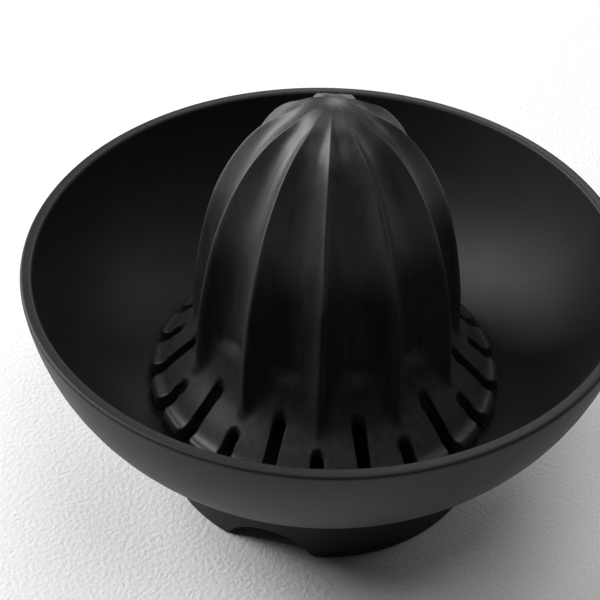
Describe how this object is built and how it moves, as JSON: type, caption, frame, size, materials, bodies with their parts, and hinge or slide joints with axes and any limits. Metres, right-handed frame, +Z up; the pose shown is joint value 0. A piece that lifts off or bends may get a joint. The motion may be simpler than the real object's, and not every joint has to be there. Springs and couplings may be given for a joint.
{
  "type": "citrus reamer",
  "caption": "Round two-piece citrus juicer: a deep bowl on an arched foot ring, with a lift-out fluted reamer whose slotted skirt strains the juice",
  "frame": {"origin": "centre of the foot ring's underside, on the surface that the bowl stands on", "axes": "+Z up along the axis of bowl and reamer; -Y is the front, where one foot arch and one long slot face; left and right mirror each other about the YZ plane"},
  "size_m": [0.1448, 0.1448, 0.105],
  "materials": {
    "bowl": "satin-matte black, finely textured",
    "reamer": "satin black, a little smoother than the bowl"
  },
  "bodies": {
    "bowl": {"juice_bowl": "bowl"},
    "insert": {"reamer_strainer": "reamer"}
  },
  "joints": [
    {"name": "insert_lift", "type": "slide", "parent": "bowl", "child": "insert", "axis": [0, 0, 1], "range_m": [0, 0.08]}
  ]
}
